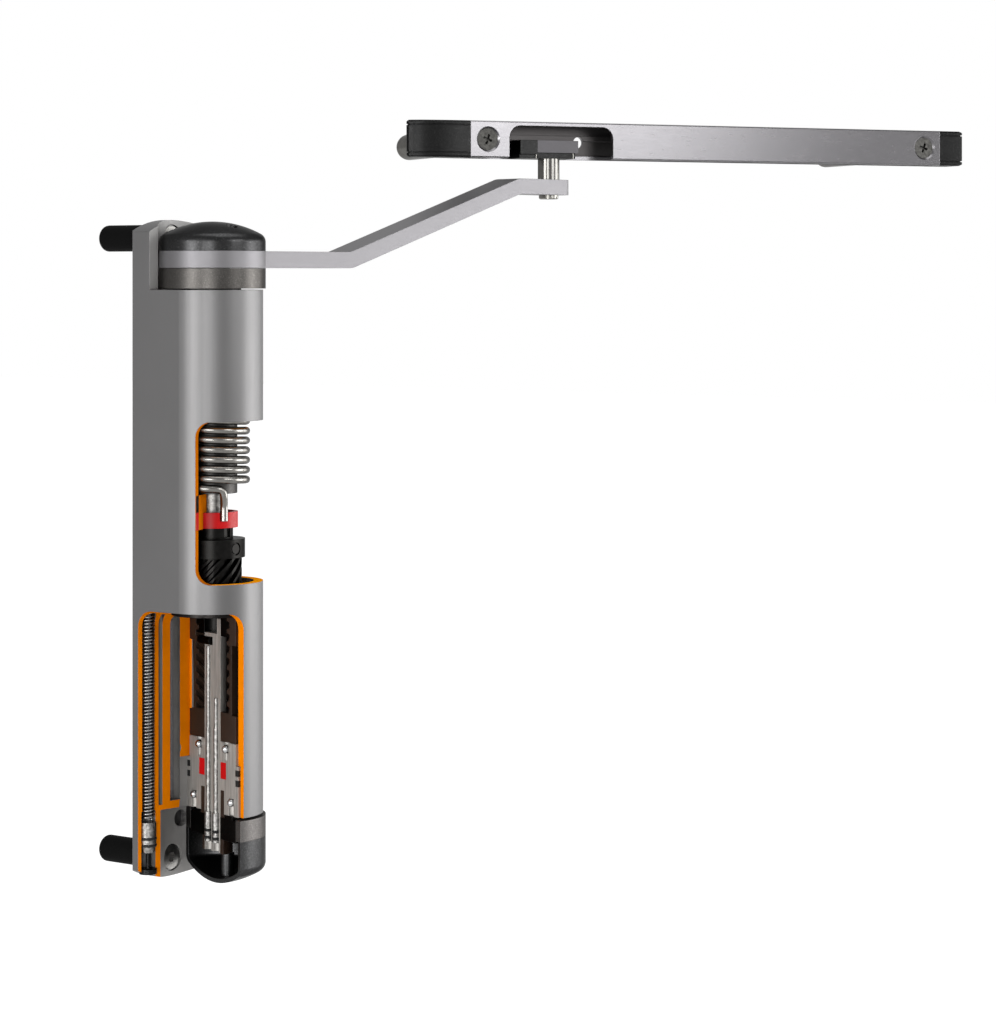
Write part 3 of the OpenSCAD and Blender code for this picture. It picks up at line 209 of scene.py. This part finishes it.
def tinted(mat, value, color, *stops):
    """Base colour over value. A stop is a place on the ramp and the colour's brightness there."""
    node = mat.node_tree.nodes.new("ShaderNodeValToRGB")
    elements = node.color_ramp.elements
    while len(elements) < len(stops):
        elements.new(0.5)
    for element, (place, brightness) in zip(elements, stops):
        element.position = place
        element.color = (*(min(1.0, c * brightness) for c in color), 1)
    mat.node_tree.links.new(value, node.inputs["Fac"])
    feed(mat, "Base Color", node.outputs["Color"])


def roughened(mat, value, low, high):
    """Roughness from low to high over the noise value."""
    node = mat.node_tree.nodes.new("ShaderNodeMapRange")
    node.inputs["From Min"].default_value = NOISE_LOW
    node.inputs["From Max"].default_value = NOISE_HIGH
    node.inputs["To Min"].default_value = low
    node.inputs["To Max"].default_value = high
    mat.node_tree.links.new(value, node.inputs["Value"])
    feed(mat, "Roughness", node.outputs["Result"])


def relief(mat, heights, edge=0.0):
    """Bumps of (height, strength, depth) one over another, on edges softened by a radius.

    Depths and the radius are in metres.
    """
    tree = mat.node_tree
    normal = None
    if edge:
        bevel = tree.nodes.new("ShaderNodeBevel")
        bevel.samples = 4
        bevel.inputs["Radius"].default_value = edge
        normal = bevel.outputs["Normal"]
    for height, strength, depth in heights:
        bump = tree.nodes.new("ShaderNodeBump")
        bump.inputs["Strength"].default_value = strength
        bump.inputs["Distance"].default_value = depth
        tree.links.new(height, bump.inputs["Height"])
        if normal is not None:
            tree.links.new(normal, bump.inputs["Normal"])
        normal = bump.outputs["Normal"]
    feed(mat, "Normal", normal)


def silver(name, color, rough, grain):
    """Satin anodised aluminium: cloudy tone, a very fine grain and soft edges."""
    mat = principled(name, color, rough, metal=0.92)
    fine = noise(mat, 700, 2, stretch=grain)
    cloud = noise(mat, 14, 4, 0.6)
    specks = noise(mat, 2600, 2)
    tinted(mat, cloud, color, (0.3, 0.96), (0.7, 1.04))
    roughened(mat, fine, rough - 0.01, rough + 0.015)
    relief(mat, [(specks, 0.06, 0.00003)], 0.0004)
    return mat


def coated(name, color, rough, size=1000, strength=0.25):
    """Fine-textured black coat with small bright grains."""
    mat = principled(name, color, rough, metal=1.0, rim=0.5)
    bumps = noise(mat, size, 3, 0.65)
    cloud = noise(mat, 60, 3)
    tinted(mat, bumps, color, (0.35, 0.7), (0.6, 1), (0.72, 1.9))
    roughened(mat, cloud, rough - 0.03, rough + 0.05)
    relief(mat, [(bumps, strength, 0.0002)], 0.0006)
    return mat


def turned(name, color, rough, stretch=(1, 1, 14), marks=0.1, rim=1.0):
    """Turned or drawn steel: faint rings across the axis and small spots."""
    mat = principled(name, color, rough, metal=1.0, rim=rim)
    rings = noise(mat, 260, 3, stretch=stretch)
    spots = noise(mat, 300, 4, 0.7)
    tinted(mat, spots, color, (0.32, 0.78), (0.6, 1))
    roughened(mat, spots, rough - 0.03, rough + 0.07)
    relief(mat, [(rings, marks, 0.00006)], 0.0003)
    return mat


def wound(name, color, rough):
    """Drawn spring wire: smooth, with a slightly uneven oiled tone."""
    mat = principled(name, color, rough, metal=1.0, rim=0.5)
    cloud = noise(mat, 160, 3, 0.6)
    tinted(mat, cloud, color, (0.3, 0.8), (0.7, 1.15))
    roughened(mat, cloud, rough - 0.03, rough + 0.05)
    return mat


def moulded(name, color, rough, size=700, strength=0.1, spec=0.5):
    """Moulded plastic with a slight grain."""
    mat = principled(name, color, rough, spec=spec)
    grain = noise(mat, size, 2)
    cloud = noise(mat, 40, 3)
    tinted(mat, cloud, color, (0.3, 0.85), (0.7, 1.15))
    roughened(mat, cloud, rough - 0.04, rough + 0.06)
    relief(mat, [(grain, strength, 0.0002)], 0.0004)
    return mat


def sawn(name, color, rough):
    """Sawn casting with streaks along the cylinder and a few fine pores."""
    mat = principled(name, color, rough, metal=0.6)
    streaks = noise(mat, 700, 3, 0.6, stretch=(1, 1, 0.06))
    pores = noise(mat, 1500, 3, 0.7)
    tinted(mat, streaks, color, (0.3, 0.75), (0.5, 1), (0.7, 1.25))
    roughened(mat, pores, rough - 0.06, rough + 0.08)
    relief(mat, [(streaks, 0.12, 0.0001), (pores, 0.12, 0.0001)], 0.0002)
    return mat


def pitted(name, color, rough):
    """Bare cast metal: mottled tone over small pits."""
    mat = principled(name, color, rough, metal=1.0)
    mottle = noise(mat, 620, 4, 0.65)
    tinted(mat, mottle, color, (0.32, 0.5), (0.5, 1), (0.68, 1.7))
    roughened(mat, mottle, rough - 0.05, rough + 0.1)
    relief(mat, [(mottle, 0.35, 0.0003)], 0.0002)
    return mat


def painted_cut(name, color):
    """Lacquered section face, slightly uneven."""
    mat = principled(name, color, 0.6, spec=0.0)
    cloud = noise(mat, 120, 3)
    tinted(mat, cloud, color, (0.3, 0.94), (0.7, 1.05))
    relief(mat, [(cloud, 0.05, 0.0002)])
    return mat


mats = {
    "housing": silver("housing_satin", (0.1, 0.0985, 0.099), 0.45, UPRIGHT_GRAIN),
    "arm": silver("arm_satin", (0.12, 0.117, 0.122), 0.48, ARM_GRAIN),
    "rail": silver("rail_satin", (0.115, 0.112, 0.117), 0.26, RAIL_GRAIN),
    # darker copy of the rail's aluminium for the inside of its channel: painted shade
    "rail_inside_painted_shade": silver("rail_inside_painted_shade", (0.035, 0.033, 0.033), 0.4, RAIL_GRAIN),
    "cap": coated("cap_coat", (0.03, 0.03, 0.0305), 0.3),
    "lower_cap": coated("lower_cap_coat", (0.042, 0.042, 0.0425), 0.32),
    "ring": coated("ring_coat", (0.056, 0.053, 0.05), 0.36, size=1500, strength=0.08),
    "lower_ring": coated("lower_ring_coat", (0.09, 0.085, 0.082), 0.4, size=1500, strength=0.1),
    "inner_black": coated("inner_coat", (0.012, 0.011, 0.0105), 0.35, size=700, strength=0.12),
    "mandrel": coated("mandrel_coat", (0.045, 0.0435, 0.042), 0.4, size=1500, strength=0.08),
    "black_plastic": coated("black_plastic", (0.014, 0.014, 0.014), 0.34, size=1100, strength=0.3),
    "oiled_black": turned("oiled_black", (0.0095, 0.0092, 0.0088), 0.3, (1, 1, 6), 0.15, rim=0.5),
    "steel": turned("steel", (0.2, 0.195, 0.18), 0.26),
    "pin_steel": turned("pin_steel", (0.12, 0.117, 0.11), 0.17, EVEN, 0.3, rim=0.5),
    "nut_steel": turned("nut_steel", (0.17, 0.165, 0.155), 0.2, EVEN, 0.1, rim=0.5),
    "screw": turned("screw_steel", (0.18, 0.176, 0.168), 0.36, EVEN, 0.08),
    "chrome": turned("chrome", (0.42, 0.42, 0.42), 0.16, EVEN, 0.02),
    "brass": turned("bush_metal", (0.45, 0.33, 0.15), 0.28),
    "bright": pitted("bright_rod", (0.17, 0.165, 0.158), 0.36),
    "rail_screw": pitted("rail_screw_steel", (0.05, 0.049, 0.046), 0.5),
    "spring": wound("spring_steel", (0.17, 0.164, 0.154), 0.22),
    "small_spring": wound("small_spring_steel", (0.19, 0.187, 0.183), 0.28),
    "cast": sawn("casting", (0.25, 0.238, 0.222), 0.48),
    # lighter matt material for the milled faces inside the housing: painted light against their
    # shade
    "milled_painted_light": moulded("milled_recess_painted_light", (0.15, 0.146, 0.141), 0.5, 900, 0.05, spec=0.3),
    # lighter matt copy of the housing for the plate's front faces: a painted highlight
    "plate_front_painted_light": moulded("plate_front_painted_light", (0.3, 0.295, 0.29), 0.5, 900, 0.05, spec=0.3),
    "brown": moulded("brown_plastic", (0.0145, 0.0082, 0.0054), 0.36, 700, 0.08, spec=0.18),
    "red": moulded("red_plastic", (0.34, 0.004, 0.005), 0.35, 700, 0.06, spec=0.12),
    "red_insert": moulded("red_insert", (0.3, 0.002, 0.003), 0.4, 700, 0.05, spec=0.1),
    "rubber": moulded("rubber", (0.006, 0.006, 0.006), 0.5, 700, 0.1, spec=0.2),
    "sleeve": moulded("sleeve_plastic", (0.003, 0.003, 0.003), 0.6, 700, 0.1, spec=0.02),
    "slider_plate": moulded("slider_plate", (0.06, 0.057, 0.062), 0.5, 900, 0.15, spec=0.3),
    "orange": painted_cut("cut_face", linear(196, 106, 2)),
    # darker copy of the cut-face orange for the upper window's cut face: painted shade
    "orange_painted_shade": painted_cut("upper_cut_face_painted_shade", linear(158, 82, 2)),
    # lighter copy of the cut-face orange for the upper window's level ledges: painted light
    "orange_painted_light": painted_cut("ledge_face_painted_light", linear(240, 150, 6)),
}

# Material of each piece
look = {
    "housing": "housing",
    "anchor_ring": "housing",
    "arm": "arm",
    "rail": "rail",
    "top_cap": "cap",
    "bottom_cap": "lower_cap",
    "bearing_ring": "ring",
    "bottom_ring": "lower_ring",
    "bottom_plug": "inner_black",
    "spring_driver": "inner_black",
    "spring_mandrel": "mandrel",
    "anchor_key": "inner_black",
    "piston_guide": "inner_black",
    "drive_collar": "oiled_black",
    "lead_screw": "oiled_black",
    "cross_pin": "oiled_black",
    "rail_cap_left": "black_plastic",
    "rail_cap_right": "black_plastic",
    "slider_block": "black_plastic",
    "compensator_plug": "black_plastic",
    "mount_sleeves": "sleeve",
    "spindle_shaft": "bright",
    "arm_screw": "steel",
    "collar_pin": "oiled_black",
    "arm_pin": "pin_steel",
    "pin_nut": "steel",
    "mount_screws": "screw",
    "rail_screws": "rail_screw",
    "slider_pins": "steel",
    "speed_valve": "bright",
    "latch_valve": "bright",
    "compensator_piston": "bright",
    "torsion_spring": "spring",
    "compensator_spring": "small_spring",
    "piston_nut": "brown",
    "column_bush": "brown",
    "column_nut": "brown",
    "anchor_collar": "red",
    "anchor_tab": "red_insert",
    "seal_insert": "red_insert",
    "valve_column": "cast",
    "valve_body": "cast",
    "body_seals": "rubber",
    "speed_rings": "rubber",
    "latch_rings": "rubber",
    "compensator_rings": "rubber",
    "top_bush": "brass",
    "sleeve_nuts": "nut_steel",
    "check_balls": "chrome",
    "ball_plugs": "chrome",
    "slider_plate": "slider_plate",
}
for name, key in look.items():
    data = nodes[name].data
    data.materials.clear()
    data.materials.append(mats[key])


def smoothed(name, limit):
    """Shading normals that round off facets meeting at less than limit degrees."""
    mesh = nodes[name].data
    corners = {}
    for face in mesh.polygons:
        direction = tuple(round(c, 3) for c in face.normal)
        for v in face.vertices:
            place = tuple(round(c, 6) for c in mesh.vertices[v].co)
            corners.setdefault(place, {})[direction] = face.normal.copy()
    normals = []
    for face in mesh.polygons:
        for v in face.vertices:
            around = corners[tuple(round(c, 6) for c in mesh.vertices[v].co)].values()
            near = [other for other in around if face.normal.angle(other, 0) < math.radians(limit)]
            normals.append(sum(near, Vector((0, 0, 0))).normalized())
    for face in mesh.polygons:
        face.use_smooth = True
    mesh.normals_split_custom_set(normals)


for name in ("arm", "rail_cap_left", "rail_cap_right"):
    smoothed(name, limit=14)

# Section faces of the housing, in mm about the tube's axis

UPPER_CUT = (23.5, 1)  # direction of a cut plane in degrees and its distance left of the axis
SIDE_CUT = (-9.7, 26.5)
BACK_CUT = (255, 1.7)
UPPER_BOTTOM = -17.8  # ends of the windows
UPPER_TOP = 77.4
LOWER_TOP = -35
UPPER_CORNER_R = 9
LOWER_CORNER_R = 10
BELOW_ALL = -200
SKIN_R = 29  # faces within these lie inside the tube or its flat spine
SPINE_HALF = 28.5
SPINE_DEPTH = 33
PLATE_FRONT_Z = 155

PLANE_SLACK = 0.06  # how far off a face's middle may lie
HEIGHT_SLACK = 0.1
ARC_SLACK = 0.12
PARALLEL = 0.985  # cosines of angles between normals and directions
SQUARE = 0.15
FRONTWARD = -0.3

PLAIN, LOWER_CUT, UPPER_WALL, UPPER_LEDGE, MILLED_PAINTED_LIGHT, PLATE_FRONT_PAINTED_LIGHT = range(6)
SLOT_KEYS = ("orange", "orange_painted_shade", "orange_painted_light", "milled_painted_light", "plate_front_painted_light")


def directions(angle):
    """Unit vectors along a cut plane and to its left."""
    a = math.radians(angle)
    return Vector((math.cos(a), math.sin(a), 0)), Vector((-math.sin(a), math.cos(a), 0))


def on_plane(p, n, cut, bottom, top):
    """p and n lie on a cut plane between two heights."""
    angle, distance = cut
    _, left = directions(angle)
    level = bottom - HEIGHT_SLACK < p.z < top + HEIGHT_SLACK
    return level and abs(p.dot(left) - distance) < PLANE_SLACK and abs(n.dot(left)) > PARALLEL


def on_corner(p, n, cut, r, end, upper):
    """p and n lie on the rounding between a cut plane and the upper or lower end of its window."""
    angle, distance = cut
    along, left = directions(angle)
    side = distance - r
    z = end - r if upper else end + r
    outward = p.z > z - HEIGHT_SLACK if upper else p.z < z + HEIGHT_SLACK
    outward = outward and p.dot(left) > side - HEIGHT_SLACK
    away = math.hypot(p.dot(left) - side, p.z - z)
    return outward and abs(away - r) < ARC_SLACK and abs(n.dot(along)) < SQUARE


def on_ledge(p, n, *heights):
    """p and n lie on a level face at one of these heights."""
    return abs(n.z) > PARALLEL and any(abs(p.z - z) < PLANE_SLACK for z in heights)


def on_lower_cut(p, n):
    """p and n lie on the lower window's cut faces, its upper roundings or its ledge."""
    return on_ledge(p, n, LOWER_TOP) or any(
        on_plane(p, n, cut, BELOW_ALL, LOWER_TOP)
        or on_corner(p, n, cut, LOWER_CORNER_R, LOWER_TOP, True)
        for cut in (SIDE_CUT, BACK_CUT)
    )


def on_upper_wall(p, n):
    """p and n lie on the upper window's cut face or its roundings."""
    return (
        on_plane(p, n, UPPER_CUT, UPPER_BOTTOM, UPPER_TOP)
        or on_corner(p, n, UPPER_CUT, UPPER_CORNER_R, UPPER_BOTTOM, False)
        or on_corner(p, n, UPPER_CUT, UPPER_CORNER_R, UPPER_TOP, True)
    )


# faces here are milled, and their lighter colour is painted light
def in_painted_light_recess(p):
    """p lies under the skin of the tube or spine, below the top of the lower window."""
    inside = math.hypot(p.x, p.y) < SKIN_R or (abs(p.x) < SPINE_HALF and 0 < p.y < SPINE_DEPTH)
    return inside and p.z < LOWER_TOP - HEIGHT_SLACK


def housing_slot(p, n):
    """Material slot of a face of the housing or anchor ring, with its middle at p and normal n."""
    if on_lower_cut(p, n):
        return LOWER_CUT
    # the upper window's cut face takes orange with painted shade, its ledges orange with painted
    # light
    if on_upper_wall(p, n):
        return UPPER_WALL
    if on_ledge(p, n, UPPER_BOTTOM, UPPER_TOP):
        return UPPER_LEDGE
    # the plate's front faces above the tube's end take a painted highlight
    if p.z > PLATE_FRONT_Z and n.y < FRONTWARD:
        return PLATE_FRONT_PAINTED_LIGHT
    return MILLED_PAINTED_LIGHT if in_painted_light_recess(p) else PLAIN


def middle(face):
    """Middle of a face, in mm about the tube's axis."""
    return (face.center - Vector((0, AXIS_Y, 0))) / MM


for name in ("housing", "anchor_ring"):
    data = nodes[name].data
    for key in SLOT_KEYS:
        data.materials.append(mats[key])
    for face in data.polygons:
        face.material_index = housing_slot(middle(face), face.normal)

# The rail's inside between its lips and its roof is painted dark as shade, in mm about the tube's
# axis

ARM_LEN = 293.1
ARM_ANGLE = math.radians(-8.3)
RAIL_ANGLE = math.radians(-30.5)
RAIL_INNER_HALF = 9.7
LIP_TOP = 242.65
ROOF = 262.35
PAINTED_SHADE_SLOT = 1
PIN = Vector((ARM_LEN * math.cos(ARM_ANGLE), ARM_LEN * math.sin(ARM_ANGLE), 0))
ACROSS = Vector((-math.sin(RAIL_ANGLE), math.cos(RAIL_ANGLE), 0))
data = nodes["rail"].data
data.materials.append(mats["rail_inside_painted_shade"])
for face in data.polygons:
    centre = middle(face)
    if abs((centre - PIN).dot(ACROSS)) < RAIL_INNER_HALF and LIP_TOP < centre.z < ROOF:
        face.material_index = PAINTED_SHADE_SLOT

# Springs


def sweep(name, points, radius, sides):
    """Round tube along points, as a closed mesh."""
    count = len(points)
    verts, faces = [], []
    for i, p in enumerate(points):
        along = (points[min(i + 1, count - 1)] - points[max(i - 1, 0)]).normalized()
        out = Vector((p.x, p.y, 0)).normalized()
        side = along.cross(out).normalized()
        up = side.cross(along)
        for k in range(sides):
            a = 2 * math.pi * k / sides
            verts.append(p + radius * (math.cos(a) * up + math.sin(a) * side))
    for i in range(count - 1):
        for k in range(sides):
            j = (k + 1) % sides
            faces.append((i * sides + k, i * sides + j, (i + 1) * sides + j, (i + 1) * sides + k))
    faces.append(tuple(range(sides - 1, -1, -1)))
    faces.append(tuple((count - 1) * sides + k for k in range(sides)))
    mesh = bpy.data.meshes.new(name)
    mesh.from_pydata(verts, [], faces)
    mesh.validate()
    for f in mesh.polygons:
        f.use_smooth = len(f.vertices) == 4
    obj = bpy.data.objects.new(name, mesh)
    scene.collection.objects.link(obj)
    return obj


def polar(r, degrees, z):
    """Point in metres from a radius in mm, an angle and a height in mm."""
    a = math.radians(degrees)
    return Vector((r * math.cos(a), r * math.sin(a), z)) * MM


def resampled(points, step):
    """The same path with points this far apart."""
    out, left = [points[0]], step
    for p, q in zip(points, points[1:]):
        length = (q - p).length
        while left < length:
            out.append(p + (q - p) * (left / length))
            left += step
        left -= length
    out.append(points[-1])
    return out


def softened(points, passes):
    """The same path with its bends rounded by repeated averaging."""
    for _ in range(passes):
        inner = [(p + 2 * q + r) / 4 for p, q, r in zip(points, points[1:], points[2:])]
        points = [points[0]] + inner + [points[-1]]
    return points


COIL_R = 19.95
COIL_LOW = 37.3
COIL_PITCH = 5.79
COIL_WIRE = 4.7
COIL_TURNS = 17
COIL_TOP = COIL_LOW + COIL_TURNS * COIL_PITCH
LEG = -117.0  # direction of both legs where they leave the turns, in degrees
FOOT = -112.3  # direction and radius of the lower leg's foot
FOOT_R = 15.0
BEND_R = 17.65  # radius of the lower leg above its jog
BEND = 45  # angle over which the last turn bends inwards to the leg
LAST_ANGLE = 360 * COIL_TURNS - 60  # where the turns' helix hands over to the lower leg
TURN_STEP = 4
LEG_STEP = 0.5 * MM

# Radius, angle and height along the legs, listed
UPPER_LEG = (
    (COIL_R, LEG, COIL_TOP + 9),
    (COIL_R, LEG, COIL_TOP + 3),
    (COIL_R, LEG + 3, COIL_TOP + 1.2),
    (COIL_R, LEG + 8, COIL_TOP + 0.2),
)
LOWER_LEG = (
    (BEND_R, LEG - 5, COIL_LOW - 0.3),
    (BEND_R, LEG - 1, COIL_LOW - 2),
    (BEND_R, LEG, 33.7),
    ((BEND_R + FOOT_R) / 2, (LEG + FOOT) / 2, 30.6),
    (FOOT_R, FOOT, 27.5),
    (FOOT_R, FOOT, 18.3),
)


def turn_point(degrees):
    """Point of the torsion spring's turns, this far down from the upper leg."""
    return polar(COIL_R, LEG + degrees, COIL_TOP - COIL_PITCH * degrees / 360)


def bend_point(degrees):
    """Point of the last turn, this far before the lower leg."""
    r = BEND_R + (COIL_R - BEND_R) * degrees / BEND
    return polar(r, LEG - degrees, COIL_LOW + COIL_PITCH * degrees / 360)


def torsion_path():
    """Middle line of the torsion spring, from the end of its upper leg to its foot."""
    upper = [polar(*at) for at in UPPER_LEG] + [turn_point(a) for a in range(16, 41, TURN_STEP)]
    turns = [turn_point(a) for a in range(44, LAST_ANGLE - 3, TURN_STEP)]
    lower = [turn_point(LAST_ANGLE + a) for a in (0, 5, 10)]
    lower += [bend_point(a) for a in (BEND, 38, 31, 24, 17, 11)]
    lower += [polar(*at) for at in LOWER_LEG]
    upper = softened(resampled(upper, LEG_STEP), 12)
    return upper + turns + softened(resampled(lower, LEG_STEP), 14)


COMP_X = -22.3
COMP_Y = 31.0
COMP_R = 3.3
COMP_WIRE = 1.2
COMP_LOW = -161.0
COMP_TOP = -26.6
COMP_TURNS = 66
COMP_STEPS = 20  # points of one turn
COMP_STUB = 1.2  # straight end of the wire, at the bottom and the top
COMP_END = 1.92  # height that both ends take


def compensator_path():
    """Middle line of the compensator spring, from its lower end to its upper one."""
    start = COMP_LOW + COMP_END
    rise = COMP_TOP - COMP_END - start
    count = COMP_STEPS * COMP_TURNS
    turns = [
        polar(COMP_R, 360 / COMP_STEPS * i, start + rise * i / count) for i in range(1, count)
    ]
    lower = [polar(COMP_R, 0, z) for z in (COMP_LOW, COMP_LOW + COMP_STUB)]
    upper = [polar(COMP_R, 0, z) for z in (COMP_TOP - COMP_STUB, COMP_TOP)]
    return lower + turns + upper


torsion = sweep("torsion_spring_wound", torsion_path(), COIL_WIRE / 2 * MM, 16)
torsion.data.transform(Matrix.Translation((0, AXIS_Y, 0)))
torsion.data.materials.append(mats["spring"])
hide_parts("torsion_spring")
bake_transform(torsion)

small = sweep("compensator_spring_wound", compensator_path(), COMP_WIRE / 2 * MM, 8)
small.data.transform(Matrix.Translation((COMP_X * MM, AXIS_Y + COMP_Y * MM, 0)))
small.data.materials.append(mats["small_spring"])
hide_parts("compensator_spring")
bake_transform(small)
